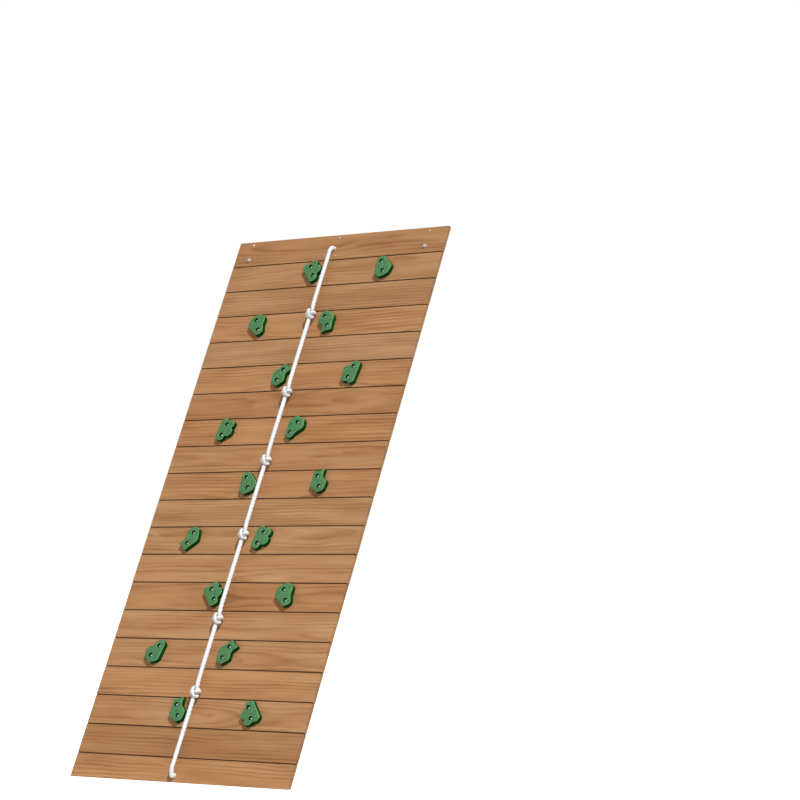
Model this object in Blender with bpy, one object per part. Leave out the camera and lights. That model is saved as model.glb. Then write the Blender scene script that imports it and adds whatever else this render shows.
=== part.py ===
"""Leaning timber climbing wall with moulded holds and a knotted hand rope.

The wall is modelled as it lies on a bench, face up: X runs across the planks, Y up the
slope and Z out of the face. One empty then leans it back on its level-cut feet, so that
the ground is at z = 0 and the wall rises towards +Y. All sizes are in metres.
"""
import math

import bmesh
import bpy
import numpy as np
from mathutils import Matrix, Vector

# Lean and fit
SLOPE_ANGLE = math.radians(64.0)
FIT_GAP = 0.0003

# Planks, laid across the slope from the top edge down
PLANK_COUNT = 20
PLANK_LENGTH = 1.219
PLANK_WIDTH = 0.1397
PLANK_THICKNESS = 0.019
PLANK_GAP = 0.001
PLANK_EASE = 0.003
LAST_PLANK_WIDTH = 0.1155

# Rails behind the planks
RAIL_WIDTH = 0.089
RAIL_THICKNESS = 0.038
RAIL_EASE = 0.003
RAIL_INSET = 0.0945

# Climbing holds, two on every second plank, either side of the climbing line
HOLD_THICKNESS = 0.021
HOLD_EDGE = 0.004
HOLD_DRAFT = 0.0015
HOLD_LINE = -0.012
HOLD_INNER = 0.087
HOLD_OUTER = 0.318
HOLD_RISE = 0.0048
HOLD_BOLT_SPACING = 0.057
HOLD_SEAT_DEPTH = 0.009
HOLD_RECESS_DIAMETER = 0.0195

# Bores for the bolts and tee nuts that clamp the holds
HOLD_BOLT_BORE = 0.0072
TEE_NUT_BORE = 0.0094
RUNNING_CLEARANCE = 0.0004

# Screws and lag bolts in the face of the top plank
FASTENER_OFFSET = -0.007
TOP_SCREW_DROP = 0.020
LOW_SCREW_DROP = 0.118
SCREW_DIAMETER = 0.0048
SCREW_HEAD_DIAMETER = 0.0100
SCREW_HEAD_HEIGHT = 0.0030
SCREW_BITE = 0.0300
LAG_DROP = 0.104
LAG_DIAMETER = 0.0079
LAG_HEAD_ACROSS_CORNERS = 0.0147
LAG_HEAD_HEIGHT = 0.0055
LAG_REACH = 0.055
LAG_WASHER_DIAMETER = 0.0175
LAG_WASHER_THICKNESS = 0.0016

# Hand rope
ROPE_DIAMETER = 0.0190
ROPE_HOLE_CLEARANCE = 0.0015
ROPE_OFFSET = -0.020
ROPE_STANDOFF = 0.0285
ROPE_TOP_DROP = 0.077
ROPE_FOOT_RISE = 0.033
ROPE_TAIL = 0.012
KNOT_STRAND = 0.0140
KNOT_UNIT = 0.0156
KNOT_DROPS = (0.447, 0.864, 1.220, 1.598, 2.016, 2.372)
KNOT_TURN = math.radians(41.0)

ROUND_SIDES = 12
HEX_SIDES = 6
ROPE_HOLE_SIDES = 16
ARC_STEP = math.radians(24.0)

# Outlines of the three holds, bolt line upright: (x, y, corner radius) in metres
TEARDROP = (
    (-0.023, 0.057, 0.019), (0.017, 0.057, 0.019), (0.053, -0.022, 0.019), (0.024, -0.056, 0.024),
    (-0.026, -0.056, 0.021), (-0.050, -0.023, 0.021), (-0.029, 0.015, 0.050),
)
CLOVER = (
    (-0.045, 0.045, 0.014), (-0.023, 0.058, 0.012), (-0.004, 0.049, 0.010), (0.016, 0.057, 0.012),
    (0.038, 0.048, 0.013), (0.041, 0.027, 0.009), (0.030, 0.018, 0.005), (0.047, 0.014, 0.012),
    (0.050, -0.011, 0.013), (0.035, -0.028, 0.010), (0.020, -0.027, 0.006), (0.016, -0.058, 0.018),
    (-0.028, -0.058, 0.018), (-0.036, -0.009, 0.055),
)
FISHTAIL = (
    (-0.012, 0.064, 0.006), (0.015, 0.053, 0.028), (0.044, 0.050, 0.006), (0.023, 0.016, 0.026),
    (0.042, -0.021, 0.018), (0.015, -0.058, 0.018), (-0.018, -0.056, 0.019), (-0.049, -0.004, 0.024),
    (-0.030, 0.025, 0.037),
)
# Hold pairs from the top row down: outline and turn in degrees, left hold then right hold
HOLD_ROWS = (
    ((CLOVER, 30), (TEARDROP, 23)), ((TEARDROP, 206), (FISHTAIL, 210)), ((FISHTAIL, -21), (CLOVER, 164)),
    ((CLOVER, -17), (TEARDROP, 152)), ((TEARDROP, 24), (FISHTAIL, 26)), ((FISHTAIL, 158), (CLOVER, -19)),
    ((CLOVER, 31), (TEARDROP, 206)), ((TEARDROP, -35), (FISHTAIL, -24)), ((FISHTAIL, 25), (CLOVER, 210)),
)
# An overhand knot from shoulder to shoulder, in strand spacings: across, outwards, along the rope
KNOT_TURNS = (
    (0.08, 0.04, -1.90), (0.16, 0.06, -1.15), (0.20, -0.18, -0.40), (0.52, -0.52, 0.28), (0.90, -0.34, 0.80),
    (0.84, 0.06, 1.24), (0.30, 0.63, 1.56), (-0.36, 1.06, 1.28), (-0.80, 1.26, 0.50), (-0.92, 0.92, -0.25),
    (-0.80, -0.26, -1.01), (-0.52, -0.80, -1.38), (-0.04, -1.08, -1.58), (0.50, -1.08, -1.38),
    (0.96, -0.78, -0.88), (1.24, -0.12, -0.38), (1.00, 0.54, -0.18), (0.50, 0.92, -0.02), (0.04, 0.82, 0.14),
    (-0.26, 0.36, 0.27), (-0.60, 0.06, 0.25), (-0.97, -0.09, 0.20), (-1.16, -0.48, 0.22),
    (-0.98, -0.92, 0.38), (-0.56, -1.06, 0.67), (-0.24, -0.78, 1.16), (-0.16, -0.45, 1.73),
    (-0.04, -0.10, 2.32),
)
KNOT_UPPER_NECK = 3.00
KNOT_LOWER_NECK = 2.80
SHOULDER_SWELL = 1.30
STOPPER_SEAT = 2.45
STOPPER_NECK = 0.25

# Derived places
PITCH = PLANK_WIDTH + PLANK_GAP
SLOPE_LENGTH = (PLANK_COUNT - 1) * PITCH + LAST_PLANK_WIDTH
RAIL_FRONT = -(PLANK_THICKNESS + FIT_GAP)
RAIL_BACK = RAIL_FRONT - RAIL_THICKNESS
RAIL_X = PLANK_LENGTH / 2 - RAIL_INSET
RAILS = {"left_rail": -RAIL_X, "middle_rail": 0.0, "right_rail": RAIL_X}
ROPE_TOP = SLOPE_LENGTH - ROPE_TOP_DROP
INTO_WALL = Vector((0.0, 0.0, -1.0))
LEVEL_BACK = Vector((0.0, math.cos(SLOPE_ANGLE), -math.sin(SLOPE_ANGLE)))
WORLD_UP = Vector((0.0, math.sin(SLOPE_ANGLE), math.cos(SLOPE_ANGLE)))


def start_clean():
    for old in list(bpy.data.objects):
        bpy.data.objects.remove(old, do_unlink=True)


def make_material(name, colour, roughness, metallic=0.0):
    material = bpy.data.materials.new(name)
    material.use_nodes = True
    shader = material.node_tree.nodes["Principled BSDF"]
    shader.inputs["Base Color"].default_value = (*colour, 1.0)
    shader.inputs["Roughness"].default_value = roughness
    shader.inputs["Metallic"].default_value = metallic
    return material


def make_lean():
    """The empty that leans the bench model back; its origin is on the wall's lower front edge."""
    lean = bpy.data.objects.new("lean", None)
    bpy.context.collection.objects.link(lean)
    foot_depth = PLANK_THICKNESS + FIT_GAP + RAIL_THICKNESS / 2
    lean.rotation_euler = (SLOPE_ANGLE, 0.0, 0.0)
    lean.location = (0.0, -foot_depth / math.sin(SLOPE_ANGLE), 0.0)
    return lean


def add_node(name, data, material, lean):
    node = bpy.data.objects.new(name, data)
    bpy.context.collection.objects.link(node)
    node.parent = lean
    data.materials.append(material)
    return node


def add_cutter(name, mesh, lean):
    cutter = bpy.data.objects.new(name, mesh)
    bpy.context.collection.objects.link(cutter)
    cutter.parent = lean
    cutter.hide_render = True
    cutter.display_type = "WIRE"
    return cutter


def cut(node, cutter):
    boolean = node.modifiers.new("bores", "BOOLEAN")
    boolean.operation = "DIFFERENCE"
    boolean.solver = "EXACT"
    boolean.object = cutter


def mesh_from(name, shape):
    """A mesh from a bmesh, with its faces turned outwards and its curved edges shaded smooth."""
    bmesh.ops.recalc_face_normals(shape, faces=shape.faces)
    mesh = bpy.data.meshes.new(name)
    shape.to_mesh(mesh)
    shape.free()
    mesh.shade_smooth()
    mesh.set_sharp_from_angle(angle=math.radians(50.0))
    return mesh


def loft(shape, rings):
    """Close a stack of rings of equal point count into one body with flat ends."""
    loops = [[shape.verts.new(point) for point in ring] for ring in rings]
    for lower, upper in zip(loops, loops[1:]):
        for i in range(len(lower)):
            j = (i + 1) % len(lower)
            shape.faces.new((lower[i], lower[j], upper[j], upper[i]))
    shape.faces.new(list(reversed(loops[0])))
    shape.faces.new(loops[-1])


def turned(shape, profile, sides, base, axis=Vector((0.0, 0.0, 1.0)), hollow=False):
    """Turn a profile of (radius, height) about an axis; a hollow profile closes on itself."""
    turn = axis.to_track_quat("Z", "Y").to_matrix()
    angles = [2 * math.pi * (k + 0.5) / sides for k in range(sides)]
    rings = []
    for radius, height in profile:
        ring = [Vector((radius * math.cos(a), radius * math.sin(a), height)) for a in angles]
        rings.append([base + turn @ point for point in ring])
    if not hollow:
        loft(shape, rings)
        return
    loops = [[shape.verts.new(point) for point in ring] for ring in rings]
    for k, lower in enumerate(loops):
        upper = loops[(k + 1) % len(loops)]
        for i in range(sides):
            j = (i + 1) % sides
            shape.faces.new((lower[i], lower[j], upper[j], upper[i]))


def bore_radius(diameter, sides, clearance):
    """Corner radius of a many-sided bore whose flats clear a round of this diameter."""
    return (diameter / 2 + clearance) / math.cos(math.pi / sides)


def bore(shape, diameter, sides, base, start, end, clearance=0.0, axis=Vector((0.0, 0.0, 1.0))):
    radius = bore_radius(diameter, sides, clearance)
    turned(shape, [(radius, start), (radius, end)], sides, base, axis)


def eased_section(low, high, back, front, ease):
    """Rectangle with its four corners planed off, as (along, depth) points."""
    return [
        (low + ease, back), (high - ease, back), (high, back + ease), (high, front - ease),
        (high - ease, front), (low + ease, front), (low, front - ease), (low, back + ease),
    ]


def plank_span(index):
    """Lower and upper edge of a plank up the slope, counted from the top."""
    upper = SLOPE_LENGTH - index * PITCH
    width = LAST_PLANK_WIDTH if index == PLANK_COUNT - 1 else PLANK_WIDTH
    return upper - width, upper


def level_foot(shape):
    """Saw off all that would stand below the ground once the wall leans."""
    geometry = shape.verts[:] + shape.edges[:] + shape.faces[:]
    result = bmesh.ops.bisect_plane(
        shape, geom=geometry, plane_co=(0.0, 0.0, 0.0), plane_no=WORLD_UP, clear_inner=True, dist=1e-6)
    edges = [item for item in result["geom_cut"] if isinstance(item, bmesh.types.BMEdge)]
    bmesh.ops.contextual_create(shape, geom=edges)


def plank_mesh(index):
    low, high = plank_span(index)
    ends = (-PLANK_LENGTH / 2, PLANK_LENGTH / 2)
    on_ground = index == PLANK_COUNT - 1
    section = eased_section(low, high, -PLANK_THICKNESS, 0.0, PLANK_EASE)
    if on_ground:
        section = [point for point in section if point[0] > low + PLANK_EASE]
        section = [(low, -PLANK_THICKNESS)] + section + [(low, 0.0)]
    shape = bmesh.new()
    loft(shape, [[Vector((x, y, z)) for y, z in section] for x in ends])
    if on_ground:
        level_foot(shape)
    return mesh_from(f"plank_{index + 1:02d}", shape)


def rail_mesh(name, x):
    section = eased_section(x - RAIL_WIDTH / 2, x + RAIL_WIDTH / 2, RAIL_BACK, RAIL_FRONT, RAIL_EASE)
    shape = bmesh.new()
    loft(shape, [[Vector((px, y, z)) for px, z in section] for y in (0.0, SLOPE_LENGTH)])
    level_foot(shape)
    return mesh_from(name, shape)


def rounded_outline(corners):
    """Walk round a polygon and replace each corner by an arc, limited by its two sides."""
    points = [Vector(corner[:2]) for corner in corners]
    outline = []
    for i, corner in enumerate(corners):
        here = points[i]
        before = points[i - 1] - here
        after = points[(i + 1) % len(points)] - here
        opening = before.angle(after)
        reach = corner[2] / math.tan(opening / 2)
        reach = min(reach, 0.48 * before.length, 0.48 * after.length)
        radius = reach * math.tan(opening / 2)
        bisector = (before.normalized() + after.normalized()).normalized()
        centre = here + bisector * (radius / math.sin(opening / 2))
        start = here + before.normalized() * reach - centre
        end = here + after.normalized() * reach - centre
        sweep = start.angle_signed(end)
        steps = max(1, round(abs(sweep) / ARC_STEP))
        for k in range(steps + 1):
            turn = Matrix.Rotation(-sweep * k / steps, 2)
            outline.append(centre + turn @ start)
    return outline


def offset_outline(outline, distance):
    """Shift a closed clockwise outline outwards, along the normal at each of its points."""
    moved = []
    for i, here in enumerate(outline):
        along = (outline[(i + 1) % len(outline)] - outline[i - 1]).normalized()
        moved.append(here + distance * Vector((-along.y, along.x)))
    return moved


def hold_places():
    """Centre, turn and outline of each hold, by row and then from left to right."""
    places = []
    for row, pair in enumerate(HOLD_ROWS):
        plank = 2 * row + 1
        if plank >= PLANK_COUNT:
            break
        low, high = plank_span(plank)
        columns = (-HOLD_INNER, HOLD_OUTER) if row % 2 == 0 else (-HOLD_OUTER, HOLD_INNER)
        for column, (outline, turn) in zip(columns, pair):
            centre = Vector((HOLD_LINE + column, (low + high) / 2 + HOLD_RISE))
            places.append((centre, math.radians(turn), outline))
    return places


def bolt_places(centre, turn):
    half = Matrix.Rotation(turn, 2) @ Vector((0.0, HOLD_BOLT_SPACING / 2))
    return centre + half, centre - half


def hold_mesh(name, centre, turn, corners):
    """A moulded hold: drafted sides, an eased front edge and a flat face."""
    outline = rounded_outline(corners)
    layers = (
        (FIT_GAP, HOLD_DRAFT),
        (HOLD_THICKNESS - HOLD_EDGE, 0.0),
        (HOLD_THICKNESS, -HOLD_EDGE),
    )
    rotation = Matrix.Rotation(turn, 2)
    rings = []
    for height, distance in layers:
        ring = [centre + rotation @ point for point in offset_outline(outline, distance)]
        rings.append([Vector((p.x, p.y, height)) for p in ring])
    shape = bmesh.new()
    loft(shape, rings)
    return mesh_from(name, shape)


def all_bolts():
    return [place for centre, turn, _ in hold_places() for place in bolt_places(centre, turn)]


def at(place, z=0.0):
    return Vector((place[0], place[1], z))


def fastener_x(side):
    return RAILS[f"{side}_rail"] + FASTENER_OFFSET


def top_screw_places():
    places = {}
    for side in ("left", "middle", "right"):
        places[f"top_screw_{side}"] = (fastener_x(side), SLOPE_LENGTH - TOP_SCREW_DROP)
    places["low_screw_middle"] = (fastener_x("middle"), SLOPE_LENGTH - LOW_SCREW_DROP)
    return places


def lag_places():
    return {side: (fastener_x(side), SLOPE_LENGTH - LAG_DROP) for side in ("left", "right")}


def rope_bores(shape):
    """The upper rope hole runs square to the face, the lower one level with the ground."""
    through = 2 * (PLANK_THICKNESS + RAIL_THICKNESS) / math.sin(SLOPE_ANGLE)
    for rise, axis in ((ROPE_TOP, INTO_WALL), (ROPE_FOOT_RISE, LEVEL_BACK)):
        base = Vector((ROPE_OFFSET, rise, 0.0))
        clearance = ROPE_HOLE_CLEARANCE / 2
        bore(shape, ROPE_DIAMETER, ROPE_HOLE_SIDES, base, -ROPE_DIAMETER, through, clearance, axis)


def plank_bores():
    shape = bmesh.new()
    low = -2 * PLANK_THICKNESS
    high = PLANK_THICKNESS
    for place in all_bolts():
        bore(shape, TEE_NUT_BORE, ROUND_SIDES, at(place), low, high)
    for place in top_screw_places().values():
        bore(shape, SCREW_DIAMETER, ROUND_SIDES, at(place), low, high, RUNNING_CLEARANCE)
    for place in lag_places().values():
        bore(shape, LAG_DIAMETER, ROUND_SIDES, at(place), low, high, RUNNING_CLEARANCE)
    rope_bores(shape)
    return mesh_from("plank_bores", shape)


def rail_bores():
    shape = bmesh.new()
    for place in lag_places().values():
        bore(shape, LAG_DIAMETER, ROUND_SIDES, at(place), 2 * RAIL_BACK, 0.0, RUNNING_CLEARANCE)
    pilot_end = RAIL_FRONT - SCREW_BITE - RUNNING_CLEARANCE
    for place in top_screw_places().values():
        bore(shape, SCREW_DIAMETER, ROUND_SIDES, at(place), pilot_end, 0.0, RUNNING_CLEARANCE)
    rope_bores(shape)
    return mesh_from("rail_bores", shape)


def hold_bores():
    """Stepped bores: a wide recess down to the seat and a clearance hole below it."""
    shape = bmesh.new()
    wide = HOLD_RECESS_DIAMETER / 2
    narrow = HOLD_BOLT_BORE / 2
    seat = HOLD_THICKNESS - HOLD_SEAT_DEPTH
    profile = [(narrow, -HOLD_THICKNESS), (narrow, seat), (wide, seat), (wide, 2 * HOLD_THICKNESS)]
    for place in all_bolts():
        turned(shape, profile, ROUND_SIDES, at(place))
    return mesh_from("hold_bores", shape)


def screw_mesh(name, place):
    """A pan-head wood screw, from its tip in the rail to its low domed head on the plank."""
    shank = SCREW_DIAMETER / 2
    head = SCREW_HEAD_DIAMETER / 2
    tip = RAIL_FRONT - SCREW_BITE
    profile = [
        (0.25 * shank, tip), (shank, tip + 1.5 * SCREW_DIAMETER), (shank, FIT_GAP), (head, FIT_GAP),
        (head, FIT_GAP + 0.4 * SCREW_HEAD_HEIGHT), (0.7 * head, FIT_GAP + SCREW_HEAD_HEIGHT),
    ]
    shape = bmesh.new()
    turned(shape, profile, ROUND_SIDES, at(place))
    return mesh_from(name, shape)


def lag_bolt_mesh(name, place):
    """A hex-head lag bolt through plank and rail, its point reaching out behind for the support."""
    seat = LAG_WASHER_THICKNESS + 2 * FIT_GAP
    shank = LAG_DIAMETER / 2
    tip = RAIL_BACK - LAG_REACH
    head = LAG_HEAD_ACROSS_CORNERS / 2
    profile = [
        (0.25 * shank, tip), (shank, tip + 1.5 * LAG_DIAMETER), (shank, seat), (head, seat),
        (head, seat + 0.85 * LAG_HEAD_HEIGHT), (0.86 * head, seat + LAG_HEAD_HEIGHT),
    ]
    shape = bmesh.new()
    turned(shape, profile, HEX_SIDES, at(place))
    return mesh_from(name, shape)


def lag_washer_mesh(name, place):
    inner = bore_radius(LAG_DIAMETER, ROUND_SIDES, RUNNING_CLEARANCE)
    outer = LAG_WASHER_DIAMETER / 2
    low = FIT_GAP
    high = FIT_GAP + LAG_WASHER_THICKNESS
    profile = [(inner, low), (outer, low), (outer, high), (inner, high)]
    shape = bmesh.new()
    turned(shape, profile, ROUND_SIDES, at(place), hollow=True)
    return mesh_from(name, shape)


def knot_stations(centre, along, outwards):
    """One overhand knot about a centre, a little thicker at its two shoulders."""
    across = outwards.cross(along)
    strand = KNOT_STRAND / 2
    radii = [strand] * len(KNOT_TURNS)
    radii[0] = radii[-1] = strand * SHOULDER_SWELL
    places = [centre + KNOT_UNIT * (x * across + y * outwards + z * along) for x, y, z in KNOT_TURNS]
    return [(place, radius, 0.62 * KNOT_UNIT) for place, radius in zip(places, radii)]


def curve_point(points, times, t):
    """Centripetal Catmull-Rom: blend neighbours in pairs, then the blends, then once more."""
    def blend(p, q, i, j):
        return p.lerp(q, (t - times[i]) / (times[j] - times[i]))

    first, second, third = (blend(points[i], points[i + 1], i, i + 1) for i in range(3))
    return blend(blend(first, second, 0, 2), blend(second, third, 1, 3), 1, 2)


def smooth_route(stations):
    """Points on a smooth curve through (place, radius, span) stations, one about every span."""
    places = [Vector(station[0]) for station in stations]
    places = [2 * places[0] - places[1]] + places + [2 * places[-1] - places[-2]]
    route = []
    for i, (_, radius, span) in enumerate(stations[:-1]):
        four = places[i:i + 4]
        times = [0.0]
        for p, q in zip(four, four[1:]):
            times.append(times[-1] + math.sqrt((q - p).length))
        steps = max(1, round((four[2] - four[1]).length / span))
        for k in range(steps):
            share = k / steps
            t = times[1] + (times[2] - times[1]) * share
            route.append((curve_point(four, times, t), radius + (stations[i + 1][1] - radius) * share))
    route.append((places[-2], stations[-1][1]))
    return route


def knotted(route, centre, along, outwards):
    """Append one tight knot to a list of stations, with its drawn-in necks."""
    full = ROPE_DIAMETER / 2
    route.append((centre - KNOT_UPPER_NECK * KNOT_UNIT * along, full, KNOT_UNIT))
    route.extend(knot_stations(centre, along, outwards))
    route.append((centre + KNOT_LOWER_NECK * KNOT_UNIT * along, full, 2.4 * ROPE_DIAMETER))


def rope_stations():
    """The rope's route: out of the upper hole, straight down with its knots, into the lower hole."""
    full = ROPE_DIAMETER / 2
    coarse = 2.4 * ROPE_DIAMETER
    fine = 0.5 * ROPE_DIAMETER
    down = Vector((0.0, -1.0, 0.0))
    outwards = Vector((math.sin(KNOT_TURN), 0.0, math.cos(KNOT_TURN)))
    upper = Vector((ROPE_OFFSET, ROPE_TOP, 0.0))
    lower = Vector((ROPE_OFFSET, ROPE_FOOT_RISE, 0.0))
    stand = Vector((0.0, 0.0, ROPE_STANDOFF))
    bend = ROPE_STANDOFF * (1 - math.cos(math.radians(45)))
    route = [
        (upper + Vector((0.0, 0.0, RAIL_BACK)), full, coarse),
        (upper + Vector((0.0, 0.0, -full)), full, fine),
        (upper, full, fine),
        (upper + Vector((0.0, -bend, ROPE_STANDOFF - bend)), full, fine),
        (upper + stand + ROPE_STANDOFF * down, full, fine),
        (upper + stand + 2 * ROPE_STANDOFF * down, full, coarse),
    ]
    for drop in KNOT_DROPS:
        centre = Vector((ROPE_OFFSET, SLOPE_LENGTH - drop, ROPE_STANDOFF))
        if centre.y > ROPE_FOOT_RISE + 5 * KNOT_UNIT:
            knotted(route, centre, down, outwards)
    back = (RAIL_BACK / LEVEL_BACK.z) * LEVEL_BACK
    route.extend([
        (lower + stand - 2 * ROPE_STANDOFF * down, full, fine),
        (lower + stand - 0.75 * ROPE_STANDOFF * down, full, fine),
        (lower - 0.55 * ROPE_STANDOFF * LEVEL_BACK, full, fine),
        (lower, full, fine),
        (lower + full * LEVEL_BACK, full, coarse),
        (lower + back, full, coarse),
    ])
    return route


def stopper_stations(mouth, away, outwards):
    """A stopper knot drawn up against the back of the rail, with its cut tail."""
    full = ROPE_DIAMETER / 2
    start = mouth + FIT_GAP * away
    neck = start + STOPPER_NECK * KNOT_UNIT * away
    centre = start + STOPPER_SEAT * KNOT_UNIT * away
    end = centre + (KNOT_UNIT * KNOT_TURNS[-1][2] + ROPE_TAIL) * away
    turns = knot_stations(centre, away, outwards)
    return [(start, full, KNOT_UNIT), (neck, full, KNOT_UNIT)] + turns + [(end, full, KNOT_UNIT)]


def rope_curve(name, stations):
    """A tube along a route, with the least clear gap between its own turns printed."""
    route = smooth_route(stations)
    curve = bpy.data.curves.new(name, "CURVE")
    curve.dimensions = "3D"
    curve.bevel_depth = ROPE_DIAMETER / 2
    curve.bevel_resolution = 1
    curve.use_fill_caps = True
    spline = curve.splines.new("POLY")
    spline.points.add(len(route) - 1)
    for point, (place, radius) in zip(spline.points, route):
        point.co = (*place, 1.0)
        point.radius = radius / (ROPE_DIAMETER / 2)
    print(f"{name}: {len(route)} points, least gap to itself {1000 * least_gap(route):.2f} mm")
    return curve


def least_gap(route):
    """Least clear distance between points that are more than two diameters apart along the rope."""
    places = np.array([place for place, _ in route])
    radii = np.array([radius for _, radius in route])
    steps = np.linalg.norm(np.diff(places, axis=0), axis=1)
    along = np.concatenate([[0.0], np.cumsum(steps)])
    apart = np.abs(along[:, None] - along[None, :])
    reach = 2.2 * (radii[:, None] + radii[None, :])
    clear = np.linalg.norm(places[:, None] - places[None, :], axis=2) - radii[:, None] - radii[None, :]
    far = apart > reach
    return clear[far].min() if far.any() else math.inf


def build():
    start_clean()
    lean = make_lean()
    pine = make_material("stained_pine", (0.43, 0.23, 0.10), 0.62)
    rail_pine = make_material("stained_pine_rail", (0.38, 0.20, 0.09), 0.66)
    moulded = make_material("green_moulded_plastic", (0.05, 0.22, 0.08), 0.5)
    zinc = make_material("zinc_plated_steel", (0.62, 0.63, 0.65), 0.35, 1.0)
    rope = make_material("white_rope", (0.82, 0.82, 0.80), 0.75)

    plank_cutter = add_cutter("plank_bores", plank_bores(), lean)
    rail_cutter = add_cutter("rail_bores", rail_bores(), lean)
    hold_cutter = add_cutter("hold_bores", hold_bores(), lean)

    for index in range(PLANK_COUNT):
        cut(add_node(f"plank_{index + 1:02d}", plank_mesh(index), pine, lean), plank_cutter)
    for name, x in RAILS.items():
        cut(add_node(name, rail_mesh(name, x), rail_pine, lean), rail_cutter)
    for number, (centre, turn, outline) in enumerate(hold_places(), 1):
        name = f"hold_{number:02d}"
        cut(add_node(name, hold_mesh(name, centre, turn, outline), moulded, lean), hold_cutter)

    for name, place in top_screw_places().items():
        add_node(name, screw_mesh(name, place), zinc, lean)
    for side, place in lag_places().items():
        add_node(f"lag_bolt_{side}", lag_bolt_mesh(f"lag_bolt_{side}", place), zinc, lean)
        add_node(f"lag_washer_{side}", lag_washer_mesh(f"lag_washer_{side}", place), zinc, lean)

    across = Vector((1.0, 0.0, 0.0))
    upper_mouth = Vector((ROPE_OFFSET, ROPE_TOP, RAIL_BACK))
    lower_mouth = Vector((ROPE_OFFSET, ROPE_FOOT_RISE, 0.0)) + (RAIL_BACK / LEVEL_BACK.z) * LEVEL_BACK
    add_node("climbing_rope", rope_curve("climbing_rope", rope_stations()), rope, lean)
    add_node("upper_stopper_knot",
             rope_curve("upper_stopper_knot", stopper_stations(upper_mouth, INTO_WALL, across)), rope, lean)
    add_node("lower_stopper_knot",
             rope_curve("lower_stopper_knot", stopper_stations(lower_mouth, LEVEL_BACK, across)), rope, lean)


build()
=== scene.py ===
# %% [markdown]
# # A leaning climbing wall
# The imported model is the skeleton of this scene: twenty planks on three rails, eighteen moulded
# holds, a few steel fasteners and a knotted rope. The cells below dress it. Planks and rails keep
# their solids and get a timber finish, while holds, fasteners and rope are made again with the fine
# shape that a simulation has no use for. Everything is in metres, with +Z up.

# %% Load the frame
import math

import bpy
import numpy as np
from mathutils.geometry import delaunay_2d_cdt
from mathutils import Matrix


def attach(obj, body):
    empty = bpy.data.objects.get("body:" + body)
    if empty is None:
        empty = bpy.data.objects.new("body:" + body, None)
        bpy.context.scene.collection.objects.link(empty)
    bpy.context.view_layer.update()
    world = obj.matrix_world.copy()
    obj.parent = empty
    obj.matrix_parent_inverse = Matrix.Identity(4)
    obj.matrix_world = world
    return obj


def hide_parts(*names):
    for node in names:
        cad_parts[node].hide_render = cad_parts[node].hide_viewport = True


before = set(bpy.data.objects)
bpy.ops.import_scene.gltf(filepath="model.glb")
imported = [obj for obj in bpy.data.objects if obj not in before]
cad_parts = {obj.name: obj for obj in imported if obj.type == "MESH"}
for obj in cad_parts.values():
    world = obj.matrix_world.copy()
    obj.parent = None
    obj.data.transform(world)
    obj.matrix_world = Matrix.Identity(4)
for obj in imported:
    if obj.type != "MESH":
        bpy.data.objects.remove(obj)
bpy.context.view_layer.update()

# %% [markdown]
# ## One bench for the whole wall
# A carpenter builds such a wall lying flat and leans it up last. The same trick keeps the sums short
# here: every piece is worked out on a bench, with x across the planks, s up the slope and n out of the
# face, and one function leans the result back on its feet.

# %% Bench sizes
SLOPE = math.radians(64.0)
PLANK_COUNT = 20
PLANK_LENGTH = 1.219
PLANK_PITCH = 0.1407
PLANK_THICKNESS = 0.019
LAST_PLANK = 0.1155
RAIL_THICKNESS = 0.038
RAIL_PLACES = {"left": -0.515, "middle": 0.0, "right": 0.515}
FIT_GAP = 0.0003
SLOPE_LENGTH = (PLANK_COUNT - 1) * PLANK_PITCH + LAST_PLANK
RAIL_BACK = -(PLANK_THICKNESS + FIT_GAP + RAIL_THICKNESS)
FOOT = (PLANK_THICKNESS + FIT_GAP + RAIL_THICKNESS / 2) / math.sin(SLOPE)


def leaned(bench):
    """Bench points to the part's frame: a turn by the slope about x, then a step back by FOOT."""
    x, s, n = np.moveaxis(np.asarray(bench, float), -1, 0)
    y = s * math.cos(SLOPE) - n * math.sin(SLOPE) - FOOT
    z = s * math.sin(SLOPE) + n * math.cos(SLOPE)
    return np.stack([x, y, z], -1)


print("top edge of the face:", leaned([0.0, SLOPE_LENGTH, 0.0]).round(3))

# %% [markdown]
# ## Camera, light and floor
# The camera stands to the right of the wall and low, with a long lens. One soft sun comes over the
# camera's right shoulder, so that each hold throws a short shadow down and to the left, and a pale sky
# fills the rest. The floor is plain and pale. To the camera it shows brighter than it is lit, so that it runs
# into the white behind it, with at most a faint shadow of the wall.

# %% Camera
FRAME_PIXELS = 800
FOCAL_PIXELS = 2623
SENSOR_MM = 36.0
HORIZON_DROP_PIXELS = 75
CAMERA_PLACE = (7.310, -8.846, 0.984)
CAMERA_YAW = math.radians(34.83)
CAMERA_TILT = math.radians(1.76)
CAMERA_REACH = 200.0

scene = bpy.context.scene
camera_data = bpy.data.cameras.new("camera")
camera_data.sensor_width = SENSOR_MM
camera_data.lens = FOCAL_PIXELS * SENSOR_MM / FRAME_PIXELS
camera_data.shift_y = HORIZON_DROP_PIXELS / FRAME_PIXELS
camera_data.clip_end = CAMERA_REACH
camera = bpy.data.objects.new("camera", camera_data)
camera.location = CAMERA_PLACE
camera.rotation_euler = (math.pi / 2 + CAMERA_TILT, 0.0, CAMERA_YAW)
scene.collection.objects.link(camera)
scene.camera = camera
scene.view_settings.view_transform = "Standard"
print("lens:", round(camera_data.lens, 1), "mm")

# %% [markdown]
# ## Colours and shader nodes
# Colours are easiest to read as the hex values of a paint chart, but shaders reckon in linear light, so one
# function converts them. A second one adds a shader node with its settings and links in a single call,
# because a material written node by node is long and hides what it makes.

# %% Helpers for colours and nodes


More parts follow.
